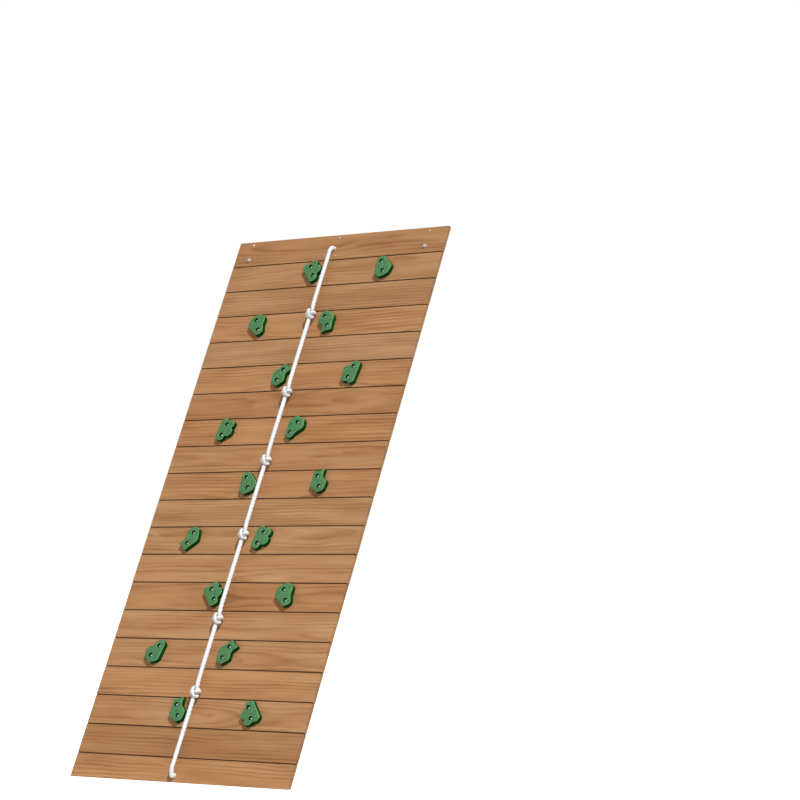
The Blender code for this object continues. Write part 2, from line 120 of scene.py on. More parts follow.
def linear(code):
    """An sRGB hex colour as the linear RGBA that shaders work in."""
    code = code.lstrip("#")
    srgb = np.array([int(code[i:i + 2], 16) for i in (0, 2, 4)]) / 255.0
    rgb = np.where(srgb <= 0.04045, srgb / 12.92, ((srgb + 0.055) / 1.055) ** 2.4)
    return (*rgb.tolist(), 1.0)


def node(tree, kind, inputs=None, **settings):
    """Add one ShaderNode of a kind, set its properties, and fill or link its inputs. A node that is given
    as an input stands for its first output."""
    made = tree.nodes.new(f"ShaderNode{kind}")
    for name, value in settings.items():
        setattr(made, name, value)
    for key, value in (inputs or {}).items():
        if isinstance(value, bpy.types.Node):
            value = value.outputs[0]
        if isinstance(value, bpy.types.NodeSocket):
            tree.links.new(value, made.inputs[key])
        else:
            made.inputs[key].default_value = value
    return made


def new_material(name):
    """An empty node material, and the tree to build it in."""
    material = bpy.data.materials.new(name)
    material.use_nodes = True
    material.node_tree.nodes.clear()
    return material, material.node_tree


# %% Sun, sky and floor
SUN_HEIGHT = math.radians(55.0)
SUN_TURN = math.radians(60.0)
SUN_STRENGTH = 3.15
SUN_WIDTH = math.radians(3.0)
SKY_STRENGTH = 0.27
FLOOR_REACH = 60.0
FLOOR_GLOW = 0.62

sun_data = bpy.data.lights.new("sun", "SUN")
sun_data.energy = SUN_STRENGTH
sun_data.angle = SUN_WIDTH
sun = bpy.data.objects.new("sun", sun_data)
sun.rotation_euler = (math.pi / 2 - SUN_HEIGHT, 0.0, SUN_TURN)
scene.collection.objects.link(sun)

world = bpy.data.worlds.new("studio")
scene.world = world
world.use_nodes = True
world.node_tree.nodes.clear()
path = node(world.node_tree, "LightPath")
seen = node(world.node_tree, "Math", {
    0: path.outputs["Is Camera Ray"], 1: path.outputs["Is Glossy Ray"]}, operation="MAXIMUM")
seen = node(world.node_tree, "Math", {0: seen, 1: path.outputs["Is Transmission Ray"]}, operation="MAXIMUM")
strength = node(world.node_tree, "MapRange", {"Value": seen, "To Min": SKY_STRENGTH, "To Max": 1.0})
sky = node(world.node_tree, "Background", {"Color": linear("#ffffff"), "Strength": strength})
node(world.node_tree, "OutputWorld", {"Surface": sky})

floor_mesh = bpy.data.meshes.new("floor")
corners = np.array([[-1, -1, 0], [1, -1, 0], [1, 1, 0], [-1, 1, 0]]) * FLOOR_REACH
floor_mesh.from_pydata(corners.tolist(), [], [[0, 1, 2, 3]])
floor = bpy.data.objects.new("floor", floor_mesh)
scene.collection.objects.link(floor)
floor_paint, tree = new_material("pale_floor")
path = node(tree, "LightPath")
glow = node(tree, "Math", {0: path.outputs["Is Camera Ray"], 1: FLOOR_GLOW}, operation="MULTIPLY")
pale = node(tree, "BsdfPrincipled", {
    "Base Color": linear("#f4f4f2"), "Roughness": 0.9, "Emission Color": linear("#ffffff"),
    "Emission Strength": glow})
node(tree, "OutputMaterial", {"Surface": pale})
floor_mesh.materials.append(floor_paint)
print("sun height:", round(math.degrees(SUN_HEIGHT)), "degrees, floor:", 2 * FLOOR_REACH, "m wide")

# %% [markdown]
# ## From arrays to meshes
# Each new piece is a set of points worked out as whole arrays, with faces that index into them. Rings give
# a grid of four-sided faces, a pole closes an end with a fan of triangles, and several shapes are joined by
# shifting their indices.

# %% Mesh helpers
SHARP_DEGREES = 35.0


def grid_faces(rows, columns, close_rows=False):
    """Quads of a grid whose columns wrap round; the rows wrap too if they close on themselves."""
    index = np.arange(rows * columns).reshape(rows, columns)
    if close_rows:
        index = np.vstack([index, index[:1]])
    right = np.roll(index, -1, axis=1)
    quads = np.stack([index[:-1], right[:-1], right[1:], index[1:]], -1)
    return quads.reshape(-1, 4).tolist()


def fan_faces(ring, pole, flip=False):
    """Triangles from a ring of indices to one pole."""
    ring = np.asarray(ring)
    after = np.roll(ring, -1)
    pair = (after, ring) if flip else (ring, after)
    return np.stack([*pair, np.full(len(ring), pole)], -1).tolist()


def swept(radius, height):
    """Rings round the z axis: radii by row and by angle, heights by row."""
    angle = np.linspace(0, 2 * np.pi, radius.shape[1], endpoint=False)
    level = np.broadcast_to(height[:, None], radius.shape)
    return np.stack([radius * np.cos(angle), radius * np.sin(angle), level], -1)


def capped(rings, poles):
    """Rings joined by quads, with one pole closing each end, as (points, faces)."""
    rows, columns = rings.shape[:2]
    count = rows * columns
    faces = grid_faces(rows, columns)
    faces += fan_faces(np.arange(columns), count, flip=True)
    faces += fan_faces(np.arange(count - columns, count), count + 1)
    return np.concatenate([rings.reshape(-1, 3), poles]), faces


def joined(shapes):
    """Several (points, faces) shapes as one, with each shape's indices shifted past the last."""
    points = np.concatenate([shape[0] for shape in shapes])
    starts = np.cumsum([0] + [len(shape[0]) for shape in shapes])
    faces = [[i + start for i in face]
             for start, shape in zip(starts.tolist(), shapes) for face in shape[1]]
    return points, faces


def add_piece(name, shape, material, replaces=(), sharp=SHARP_DEGREES):
    """A shape in the part's frame as an object that rides on the wall and stands for CAD nodes."""
    points, faces = shape
    mesh = bpy.data.meshes.new(name)
    mesh.from_pydata(np.asarray(points).tolist(), [], faces)
    mesh.validate()
    mesh.shade_smooth()
    mesh.set_sharp_from_angle(angle=math.radians(sharp))
    mesh.materials.append(material)
    piece = bpy.data.objects.new(name, mesh)
    scene.collection.objects.link(piece)
    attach(piece, "root")
    if replaces:
        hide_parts(*replaces)
    return piece


# %% [markdown]
# ## The hand rope
# The real rope is three strands laid round each other, white, three quarters of an inch thick. It comes
# out of a hole in the top plank, runs down the face with an overhand knot for the hands every 36 to 42 cm,
# and goes in again at the foot. Behind the wall a stopper knot keeps each end from slipping out.
# A knot could be drawn as a lump, but then its strands would not cross as they do, so the route follows the
# rope through every turn of the knot. The turns are listed stations, in strand spacings: across,
# outwards and along the rope.

# %% Route of the rope
ROPE = 0.0190
ROPE_X = -0.020
ROPE_STANDOFF = 0.0285
ROPE_TOP_DROP = 0.077
ROPE_TOP = SLOPE_LENGTH - ROPE_TOP_DROP
ROPE_FOOT = 0.033
ROPE_TAIL = 0.012
STRAND = 0.0140
KNOT_UNIT = 0.0156
KNOT_DROPS = (0.447, 0.864, 1.220, 1.598, 2.016, 2.372)
KNOT_TURN = math.radians(41.0)
KNOT_TURNS = np.array([
    (0.08, 0.04, -1.90), (0.16, 0.06, -1.15), (0.20, -0.18, -0.40), (0.52, -0.52, 0.28), (0.90, -0.34, 0.80),
    (0.84, 0.06, 1.24), (0.30, 0.63, 1.56), (-0.36, 1.06, 1.28), (-0.80, 1.26, 0.50), (-0.92, 0.92, -0.25),
    (-0.80, -0.26, -1.01), (-0.52, -0.80, -1.38), (-0.04, -1.08, -1.58), (0.50, -1.08, -1.38),
    (0.96, -0.78, -0.88), (1.24, -0.12, -0.38), (1.00, 0.54, -0.18), (0.50, 0.92, -0.02), (0.04, 0.82, 0.14),
    (-0.26, 0.36, 0.27), (-0.60, 0.06, 0.25), (-0.97, -0.09, 0.20), (-1.16, -0.48, 0.22),
    (-0.98, -0.92, 0.38), (-0.56, -1.06, 0.67), (-0.24, -0.78, 1.16), (-0.16, -0.45, 1.73),
    (-0.04, -0.10, 2.32)])
KNOT_NECKS = (-3.00, 2.80)
SHOULDER_SWELL = 1.30
STOPPER_SEAT = 2.45
STOPPER_NECK = 0.25
BEND_ANGLE = math.radians(45.0)
RUN_IN = 2.0
FOOT_RISE = 0.75
FOOT_REACH = 0.55
INTO_WALL = np.array([0.0, 0.0, -1.0])
LEVEL_BACK = np.array([0.0, math.cos(SLOPE), -math.sin(SLOPE)])
DOWN = np.array([0.0, -1.0, 0.0])


def knotted(before, centre, after, along, outwards):
    """Stations (x, s, n, radius) of one tight knot about a centre, between two places on the plain rope."""
    axes = np.stack([np.cross(outwards, along), outwards, along])
    places = np.concatenate([[before], centre + KNOT_UNIT * KNOT_TURNS @ axes, [after]])
    radii = np.full(len(places), STRAND / 2)
    radii[[1, -2]] *= SHOULDER_SWELL
    radii[[0, -1]] = ROPE / 2
    return np.column_stack([places, radii])


def plain(*places):
    """Stations at the rope's full thickness."""
    places = np.array(places, float)
    return np.column_stack([places, np.full(len(places), ROPE / 2)])


def rope_stations():
    """Out of the upper hole, straight down with the knots, and level into the lower hole."""
    upper = np.array([ROPE_X, ROPE_TOP, 0.0])
    lower = np.array([ROPE_X, ROPE_FOOT, 0.0])
    out = np.array([0.0, 0.0, ROPE_STANDOFF])
    bend = ROPE_STANDOFF * (1 - math.cos(BEND_ANGLE))
    outwards = np.array([math.sin(KNOT_TURN), 0.0, math.cos(KNOT_TURN)])
    route = [plain(
        upper + (0.0, 0.0, RAIL_BACK), upper + (0.0, 0.0, -ROPE / 2), upper,
        upper + (0.0, -bend, ROPE_STANDOFF - bend), upper + out + ROPE_STANDOFF * DOWN,
        upper + out + RUN_IN * ROPE_STANDOFF * DOWN)]
    for drop in KNOT_DROPS:
        centre = np.array([ROPE_X, SLOPE_LENGTH - drop, ROPE_STANDOFF])
        before, after = centre + KNOT_UNIT * np.outer(KNOT_NECKS, DOWN)
        route.append(knotted(before, centre, after, DOWN, outwards))
    route.append(plain(
        lower + out - RUN_IN * ROPE_STANDOFF * DOWN, lower + out - FOOT_RISE * ROPE_STANDOFF * DOWN,
        lower - FOOT_REACH * ROPE_STANDOFF * LEVEL_BACK, lower, lower + ROPE / 2 * LEVEL_BACK,
        lower + (RAIL_BACK / LEVEL_BACK[2]) * LEVEL_BACK))
    return np.concatenate(route)


def stopper_stations(mouth, away):
    """A knot drawn up against the back of the rail, with its cut tail."""
    start = mouth + FIT_GAP * away
    neck = start + STOPPER_NECK * KNOT_UNIT * away
    centre = start + STOPPER_SEAT * KNOT_UNIT * away
    end = centre + (KNOT_UNIT * KNOT_TURNS[-1, 2] + ROPE_TAIL) * away
    return np.concatenate([plain(start), knotted(neck, centre, end, away, np.array([1.0, 0.0, 0.0]))])


# %% [markdown]
# ## From a route to a laid rope
# A curve with a round bevel would give a smooth hose. The tube is computed instead: the stations are joined
# by a smooth curve, and one cross-section of three rounded strands is carried along it, turned a little
# further at every ring. That turn is the lay, which catches the light in slanting lines.

# %% Smooth curve
CURVE_SAMPLES = 24


def smooth_curve(stations, step):
    """Centripetal Catmull-Rom through the stations, read off again at even steps of length."""
    ends = [2 * stations[0] - stations[1], 2 * stations[-1] - stations[-2]]
    run = np.concatenate([ends[:1], stations, ends[1:]])
    spans = np.sqrt(np.linalg.norm(np.diff(run[:, :3], axis=0), axis=1))
    knots = np.concatenate([[0.0], np.cumsum(spans)])
    i = np.repeat(np.arange(1, len(run) - 2), CURVE_SAMPLES)
    share = np.tile(np.arange(CURVE_SAMPLES) / CURVE_SAMPLES, len(run) - 3)
    t = knots[i] + share * (knots[i + 1] - knots[i])

    def between(p, q, a, b):
        weight = ((t - knots[a]) / (knots[b] - knots[a]))[:, None]
        return p + weight * (q - p)

    first = between(run[i - 1], run[i], i - 1, i)
    second = between(run[i], run[i + 1], i, i + 1)
    third = between(run[i + 1], run[i + 2], i + 1, i + 2)
    left = between(first, second, i - 1, i + 1)
    right = between(second, third, i, i + 2)
    curve = np.concatenate([between(left, right, i, i + 1), run[-2:-1]])
    length = np.concatenate([[0.0], np.cumsum(np.linalg.norm(np.diff(curve[:, :3], axis=0), axis=1))])
    even = np.linspace(0.0, length[-1], max(2, round(length[-1] / step)))
    return np.column_stack([np.interp(even, length, column) for column in curve.T]), even


# %% Laid tube
RING_STEP = 0.0025
ROPE_SIDES = 30
LAY_LENGTH = 0.060
STRAND_COUNT = 3
STRAND_RELIEF = 0.16
# Any direction that the rope does not start along
SIDE_HINT = (1.0, 0.2, 0.1)


def carried_frames(places):
    """Two normals at each ring: the last ring's normal less its part along the new tangent, so that they
    never spin about the route."""
    tangents = np.gradient(places, axis=0)
    tangents /= np.linalg.norm(tangents, axis=1)[:, None]
    normal = np.cross(tangents[0], SIDE_HINT)
    normals = []
    for tangent in tangents:
        normal = normal - tangent * (normal @ tangent)
        normal = normal / np.linalg.norm(normal)
        normals.append(normal)
    normals = np.array(normals)
    return normals, np.cross(tangents, normals)


def strand_section(angle):
    """Radius of three touching strands by angle, flattened by how hard they are laid, at most 1."""
    small = 1.0 / (1.0 + 1.0 / math.sin(math.pi / STRAND_COUNT))
    centre = 1.0 - small
    sector = 2 * math.pi / STRAND_COUNT
    off = np.mod(angle + sector / 2, sector) - sector / 2
    union = centre * np.cos(off) + np.sqrt(np.maximum(small ** 2 - (centre * np.sin(off)) ** 2, 0.0))
    return 1.0 - STRAND_RELIEF * (1.0 - union)


def laid_tube(stations):
    """A tube along the stations whose radius at an angle is the strand section's, turned by one turn for
    each LAY_LENGTH along: points, faces, route and length."""
    curve, along = smooth_curve(stations, RING_STEP)
    places, radii = curve[:, :3], curve[:, 3]
    normals, binormals = carried_frames(places)
    angle = np.linspace(0.0, 2 * np.pi, ROPE_SIDES, endpoint=False)
    turn = 2 * np.pi * along / LAY_LENGTH
    radius = radii[:, None] * strand_section(angle[None, :] - turn[:, None])
    cosine, sine = np.cos(angle)[None, :, None], np.sin(angle)[None, :, None]
    offset = cosine * normals[:, None] + sine * binormals[:, None]
    points, faces = capped(places[:, None] + radius[..., None] * offset, places[[0, -1]])
    return leaned(points), faces, leaned(places), along[-1]


# %% [markdown]
# ## White laid rope
# Polypropylene rope is spun from fine white film. Up close it is dull, with a faint unevenness as wide as a
# yarn, and from a few steps away only the bright white and the slanting lay are left. The lay is already in
# the mesh, so one fine noise is enough here: it turns the white a little grey and roughens it.

# %% White rope finish
YARN_WIDTH = 0.0022
YARN_DEPTH = 0.0006


def white_rope():
    """Spun white polypropylene: bright and dull, with an unevenness as fine as its yarns."""
    material, tree = new_material("white_polypropylene_rope")
    place = node(tree, "TexCoord")
    fibres = node(tree, "TexNoise", {
        "Vector": place.outputs["Object"], "Scale": 1.0 / YARN_WIDTH, "Detail": 3.0, "Roughness": 0.6})
    colour = node(tree, "Mix", {
        "Factor": fibres, 6: linear("#d3d6da"), 7: linear("#f2f4f6")}, data_type="RGBA")
    bump = node(tree, "Bump", {"Height": fibres, "Strength": 0.35, "Distance": YARN_DEPTH})
    shader = node(tree, "BsdfPrincipled", {
        "Base Color": colour.outputs[2], "Roughness": 0.62, "Normal": bump, "IOR": 1.49})
    node(tree, "OutputMaterial", {"Surface": shader})
    return material


# %% Rope and stopper knots
ROPE_SHARP_DEGREES = 80.0

rope_white = white_rope()
points, faces, rope_path, rope_length = laid_tube(rope_stations())
rope = add_piece(
    "laid_rope", (points, faces), rope_white, ["climbing_rope"], sharp=ROPE_SHARP_DEGREES)
upper_mouth = np.array([ROPE_X, ROPE_TOP, RAIL_BACK])
lower_mouth = np.array([ROPE_X, ROPE_FOOT, 0.0]) + (RAIL_BACK / LEVEL_BACK[2]) * LEVEL_BACK
for knot, mouth, away in (
        ("upper_stopper_knot", upper_mouth, INTO_WALL), ("lower_stopper_knot", lower_mouth, LEVEL_BACK)):
    shape = laid_tube(stopper_stations(mouth, away))[:2]
    add_piece(
        f"laid_{knot}", shape, rope_white, [knot], sharp=ROPE_SHARP_DEGREES)
print("rope length:", round(rope_length, 3), "m in", len(rope_path), "rings")

# %% [markdown]
# ## Stained pine
# The planks are flat-sawn pine under a brown stain. A growth ring is close to a cylinder round the heart of
# the tree, and a plank is a slice some way off that heart, so its face shows long arches where the slice
# just touches a ring and straight lines towards the edges. A picture of wood would repeat from plank to
# plank, so the material makes that cut itself. It first finds out which board a point is on. The number of
# the board picks its random values, so that no two boards look alike.

# %% Boards and their random values


def board_places(tree, upright, seed):
    """Where a point is on its board, as sockets: along the grain, beside it, out of the face, across from the
    board's middle, and the board's random values. Boards are bands of one pitch, and
    across = (fraction of the band - 1/2) * pitch."""
    place = node(tree, "TexCoord")
    bench = node(tree, "Mapping", {
        "Vector": place.outputs["Object"], "Location": (0.0, -FOOT, 0.0), "Rotation": (SLOPE, 0.0, 0.0)},
        vector_type="TEXTURE")
    x, s, n = node(tree, "SeparateXYZ", {0: bench}).outputs
    grain, side = (s, x) if upright else (x, s)
    pitch = RAIL_PLACES["right"] if upright else PLANK_PITCH
    start = pitch / 2 if upright else PLANK_PITCH - LAST_PLANK
    shifted = node(tree, "Math", {0: side, 1: start}, operation="ADD")
    turns = node(tree, "Math", {0: shifted, 1: pitch}, operation="DIVIDE")
    board = node(tree, "Math", {0: turns}, operation="FLOOR")
    part = node(tree, "Math", {0: turns}, operation="FRACT")
    across = node(tree, "Math", {0: part, 1: pitch, 2: -pitch / 2}, operation="MULTIPLY_ADD")
    number = node(tree, "Math", {0: board, 1: seed}, operation="ADD")
    chance = node(tree, "TexWhiteNoise", {"W": number}, noise_dimensions="1D")
    return grain, side, n, across, chance.outputs


# %% [markdown]
# The heart line of each board lies at a random place beside and behind its face, and drifts nearer and
# further along the board. The distance from it, bent by a slow wave, is split into rings, and the late wood
# that ends each ring is dark.

# %% Growth rings
# Real rings of pine are 3 to 6 mm wide. These are drawn coarser, to show from some metres away.
RING_WIDTH = 0.0150
LATE_WOOD = (0.35, 0.78, 0.90)
HEART_SPREAD = 0.26
HEART_DEPTH = 0.022
HEART_DEPTH_SPREAD = 0.055
HEART_WANDER = 0.034
DRIFT_LENGTH = 1.1
DRIFT_SPAN = (0.25, 0.75)
WAVE_REACH = 0.022


def growth_rings(tree, run, across, n, waver, first, second, early, late):
    """Ring colours by the fraction of r / RING_WIDTH, where
    r = sqrt((across + heart)^2 + (n + depth)^2) + WAVE_REACH * waver."""
    drift = node(tree, "TexNoise", {
        "W": run, "Scale": 1.0 / DRIFT_LENGTH, "Detail": 1.0}, noise_dimensions="1D")
    depth = node(tree, "MapRange", {
        "Value": drift, "From Min": DRIFT_SPAN[0], "From Max": DRIFT_SPAN[1],
        "To Min": -HEART_WANDER / 2, "To Max": HEART_WANDER / 2}, clamp=False)
    depth = node(tree, "Math", {0: second, 1: HEART_DEPTH_SPREAD, 2: depth}, operation="MULTIPLY_ADD")
    depth = node(tree, "Math", {0: depth, 1: n}, operation="ADD")
    depth = node(tree, "Math", {0: depth, 1: HEART_DEPTH}, operation="ADD")
    heart = node(tree, "Math", {0: first, 1: HEART_SPREAD, 2: -HEART_SPREAD / 2}, operation="MULTIPLY_ADD")
    aside = node(tree, "Math", {0: across, 1: heart}, operation="ADD")
    spoke = node(tree, "CombineXYZ", {0: aside, 1: depth})
    radius = node(tree, "VectorMath", {0: spoke}, operation="LENGTH")
    ring = node(tree, "Math", {
        0: waver, 1: WAVE_REACH, 2: radius.outputs["Value"]}, operation="MULTIPLY_ADD")
    ring = node(tree, "Math", {0: ring, 1: RING_WIDTH}, operation="DIVIDE")
    ring = node(tree, "Math", {0: ring}, operation="FRACT")
    growth = node(tree, "ValToRGB", {0: ring})
    stops = growth.color_ramp.elements
    stops[0].color = linear(early)
    stops[1].color = linear(early)
    for stop, code in zip(LATE_WOOD, (early, late, late)):
        stops.new(stop).color = linear(code)
    return growth


# %% [markdown]
# The edges and ends of a plank are coloured darker than its face, as painted shade. Between two planks only
# that dark edge is seen, which draws the joint as a thin dark line, also round the corner on the ends.

# %% Sawn edges
# Painted shade on the plank's long edges, on its ends and beside each joint
EDGE_DEPTH = 0.0010
JOINT_SHADE_REACH = 0.0035
JOINT_SHADE = 0.20
END_SHADE = 0.82


def sawn_edges(tree, x, n, across):
    """A factor of painted shade by the distance to the plank's middle planes: 1 on the faces, darkest on the
    long edges, and lighter on the ends but for a darkest strip beside each joint."""
    middle = node(tree, "Math", {0: n, 1: PLANK_THICKNESS / 2}, operation="ADD")
    off_middle = node(tree, "Math", {0: middle}, operation="ABSOLUTE")
    off_centre = node(tree, "Math", {0: x}, operation="ABSOLUTE")
    to_joint = node(tree, "Math", {0: across}, operation="ABSOLUTE")
    shade_start = PLANK_PITCH / 2 - JOINT_SHADE_REACH
    end_shade = node(tree, "MapRange", {
        "Value": to_joint, "From Min": shade_start, "From Max": shade_start + EDGE_DEPTH,
        "To Min": END_SHADE, "To Max": JOINT_SHADE})
    edge = node(tree, "MapRange", {
        "Value": off_centre, "From Min": PLANK_LENGTH / 2 - 2 * EDGE_DEPTH,
        "From Max": PLANK_LENGTH / 2 - EDGE_DEPTH, "To Min": JOINT_SHADE, "To Max": end_shade})
    return node(tree, "MapRange", {
        "Value": off_middle, "From Min": PLANK_THICKNESS / 2 - EDGE_DEPTH,
        "From Max": PLANK_THICKNESS / 2 - EDGE_DEPTH / 4, "To Min": edge, "To Max": 1.0})


# %% [markdown]
# Stain never takes evenly. It soaks deeper in long patches, where the wood turns darker and redder, the
# rings fade in and out below it, and every fibre takes a little more or less. All of these are one noise
# drawn out along the grain, at different lengths and widths.

# %% Stained pine
BOARD_STEP = 60.0
WAVE = (0.30, 0.045)
VEIL = (0.60, 0.055)
VEIL_SPAN = (0.38, 0.64)
VEIL_SHARE = (0.10, 1.0)
FIBRE = (0.14, 0.003)
FIBRE_TONE = (0.965, 1.03)
FIBRE_DEPTH = 0.0008
PATCH = (0.42, 0.060)
PATCH_TONE = (0.945, 1.045)
PATCH_STAIN = (0.10, -0.08)
BOARD_TONE = (0.91, 1.06)
BOARD_STAIN = (0.92, 1.08)
NOISE_SPAN = (0.3, 0.7)


def streaks(tree, stretched, size, detail):
    """Noise drawn out along the grain: features of the given length and width."""
    drawn = node(tree, "Mapping", {"Vector": stretched, "Scale": (1 / size[0], 1 / size[1], 1 / size[1])})
    return node(tree, "TexNoise", {"Vector": drawn, "Scale": 1.0, "Detail": detail})


def stain_shade(tree, fibre, patch, chance):
    """How bright the stain is: the fibre's, the patch's and the board's own factors multiplied."""
    shade = node(tree, "MapRange", {
        "Value": chance["Value"], "To Min": BOARD_TONE[0], "To Max": BOARD_TONE[1]})
    for noise, tone in ((fibre, FIBRE_TONE), (patch, PATCH_TONE)):
        factor = node(tree, "MapRange", {
            "Value": noise, "From Min": NOISE_SPAN[0], "From Max": NOISE_SPAN[1], "To Min": tone[0],
            "To Max": tone[1]})
        shade = node(tree, "Math", {0: shade, 1: factor}, operation="MULTIPLY")
    return shade


def stained_pine(name, upright, early, late, seed):
    """Sawn pine under a brown stain, its grain across for planks and upright for rails: dull, with dark
    late wood, fine fibres and soaked patches."""
    material, tree = new_material(name)
    grain, side, n, across, chance = board_places(tree, upright, seed)
    first, second, third = node(tree, "SeparateColor", {0: chance["Color"]}).outputs
    run = node(tree, "Math", {0: third, 1: BOARD_STEP, 2: grain}, operation="MULTIPLY_ADD")
    stretched = node(tree, "CombineXYZ", {0: run, 1: side, 2: n})
    waver = streaks(tree, stretched, WAVE, 3.0)
    rings = growth_rings(tree, run, across, n, waver, first, second, early, late)
    veil = node(tree, "MapRange", {
        "Value": streaks(tree, stretched, VEIL, 2.0), "From Min": VEIL_SPAN[0], "From Max": VEIL_SPAN[1],
        "To Min": VEIL_SHARE[0], "To Max": VEIL_SHARE[1]})
    figure = node(tree, "Mix", {"Factor": veil, 6: linear(early), 7: rings}, data_type="RGBA")
    fibre = streaks(tree, stretched, FIBRE, 4.0)
    patch = streaks(tree, stretched, PATCH, 2.0)
    shade = stain_shade(tree, fibre, patch, chance)
    # Painted shade on the plank's edges and ends
    if not upright:
        sawn = sawn_edges(tree, grain, n, across)
        shade = node(tree, "Math", {0: shade, 1: sawn}, operation="MULTIPLY")
    soaked = node(tree, "MapRange", {
        "Value": patch, "From Min": NOISE_SPAN[0], "From Max": NOISE_SPAN[1], "To Min": PATCH_STAIN[0],
        "To Max": PATCH_STAIN[1]})
    stain = node(tree, "MapRange", {"Value": second, "To Min": BOARD_STAIN[0], "To Max": BOARD_STAIN[1]})
    stain = node(tree, "Math", {0: stain, 1: soaked}, operation="ADD")
    toned = node(tree, "Gamma", {"Color": figure.outputs[2], "Gamma": stain})
    colour = node(tree, "VectorMath", {0: toned, "Scale": shade}, operation="SCALE")
    bump = node(tree, "Bump", {"Height": fibre, "Strength": 0.30, "Distance": FIBRE_DEPTH})
    shader = node(tree, "BsdfPrincipled", {
        "Base Color": colour, "Roughness": 0.66, "Specular IOR Level": 0.3, "Normal": bump})
    node(tree, "OutputMaterial", {"Surface": shader})
    return material


# %% Finish the planks and rails
PLANK_EARLY, PLANK_LATE, PLANK_SEED = "#ae7f54", "#966640", 3.0
RAIL_EARLY, RAIL_LATE, RAIL_SEED = "#ae8052", "#92623c", 41.0

plank_pine = stained_pine("stained_pine", False, PLANK_EARLY, PLANK_LATE, PLANK_SEED)
rail_pine = stained_pine("stained_pine_rail", True, RAIL_EARLY, RAIL_LATE, RAIL_SEED)
planks = [obj for obj in bpy.data.objects if obj.type == "MESH" and obj.name.startswith("plank_")]
rails = [obj for obj in bpy.data.objects if obj.type == "MESH" and obj.name.endswith("_rail")]
for boards, finish in ((planks, plank_pine), (rails, rail_pine)):
    for board in boards:
        board.data.materials.clear()
        board.data.materials.append(finish)
print("planks finished:", len(planks), "rails finished:", len(rails))

# %% [markdown]
# ## Moulded holds
# A hold is cast in a mould with a flat back. Its sides have a little draft so that it comes out, its front
# edge is rounded for the fingers, and the face is roughened for grip. Two bolts sit in round recesses, so
# that no steel stands proud. There are three moulds, and each is used six times at various turns.
# A hold could be sculpted, but its outline is what the eye knows it by, so each is drawn as a polygon whose
# corners (x, y, radius) are rounded by arcs.

# %% Hold outlines
OUTLINE_POINTS = 168
ARC_POINTS = 15
ARC_SHARE = 0.48
TINY = 1e-12
TEARDROP = (
    (-0.023, 0.057, 0.019), (0.017, 0.057, 0.019), (0.053, -0.022, 0.019), (0.024, -0.056, 0.024),
    (-0.026, -0.056, 0.021), (-0.050, -0.023, 0.021), (-0.029, 0.015, 0.050))
CLOVER = (
    (-0.045, 0.045, 0.014), (-0.023, 0.058, 0.012), (-0.004, 0.049, 0.010), (0.016, 0.057, 0.012),
    (0.038, 0.048, 0.013), (0.041, 0.027, 0.009), (0.030, 0.018, 0.005), (0.047, 0.014, 0.012),
    (0.050, -0.011, 0.013), (0.035, -0.028, 0.010), (0.020, -0.027, 0.006), (0.016, -0.058, 0.018),
    (-0.028, -0.058, 0.018), (-0.036, -0.009, 0.055))
FISHTAIL = (
    (-0.012, 0.064, 0.006), (0.015, 0.053, 0.028), (0.044, 0.050, 0.006), (0.023, 0.016, 0.026),
    (0.042, -0.021, 0.018), (0.015, -0.058, 0.018), (-0.018, -0.056, 0.019), (-0.049, -0.004, 0.024),
    (-0.030, 0.025, 0.037))


def rounded_outline(corners):
    """A polygon with an arc at every corner, walked anticlockwise and read off at even steps."""
    spots = np.array(corners)[::-1]
    here = spots[:, :2]
    before, after = np.roll(here, 1, axis=0) - here, np.roll(here, -1, axis=0) - here
    long_before, long_after = np.linalg.norm(before, axis=1), np.linalg.norm(after, axis=1)
    before, after = before / long_before[:, None], after / long_after[:, None]
    half = np.arccos(np.clip((before * after).sum(1), -1, 1)) / 2
    reach = np.minimum(spots[:, 2] / np.tan(half), ARC_SHARE * np.minimum(long_before, long_after))
    radius = reach * np.tan(half)
    middle = before + after
    centre = here + middle / np.linalg.norm(middle, axis=1)[:, None] * (radius / np.sin(half))[:, None]
    start = here + before * reach[:, None] - centre
    sweep = (np.pi - 2 * half) * np.sign(before[:, 1] * after[:, 0] - before[:, 0] * after[:, 1])
    turn = sweep[:, None] * np.linspace(0, 1, ARC_POINTS)
    arc = np.stack([
        start[:, :1] * np.cos(turn) - start[:, 1:] * np.sin(turn),
        start[:, :1] * np.sin(turn) + start[:, 1:] * np.cos(turn)], -1)
    line = (centre[:, None] + arc).reshape(-1, 2)
    line = np.concatenate([line, line[:1]])
    length = np.concatenate([[0.0], np.cumsum(np.linalg.norm(np.diff(line, axis=0), axis=1))])
    even = np.linspace(0.0, length[-1], OUTLINE_POINTS, endpoint=False)
    return np.column_stack([np.interp(even, length, column) for column in line.T])


def offset_outline(outline, distance):
    """Move an anticlockwise outline outwards along its normals."""
    along = np.roll(outline, -1, axis=0) - np.roll(outline, 1, axis=0)
    along /= np.linalg.norm(along, axis=1)[:, None]
    return outline + distance * np.stack([along[:, 1], -along[:, 0]], -1)


def depth_inside(points, outline):
    """Distance from each point to the outline, negative outside it, by the crossings of a ray."""
    first, second = outline, np.roll(outline, -1, axis=0)
    edge = second - first
    offset = points[:, None] - first[None]
    share = np.clip((offset * edge).sum(-1) / (edge ** 2).sum(-1), 0, 1)
    distance = np.linalg.norm(offset - share[..., None] * edge, axis=-1).min(1)
    above = (first[:, 1] > points[:, None, 1]) != (second[:, 1] > points[:, None, 1])
    rise = np.where(edge[:, 1] == 0, TINY, edge[:, 1])
    crossing = first[:, 0] + (points[:, None, 1] - first[:, 1]) * edge[:, 0] / rise
    inside = (above & (points[:, None, 0] < crossing)).sum(1) % 2 == 1
    return np.where(inside, distance, -distance)


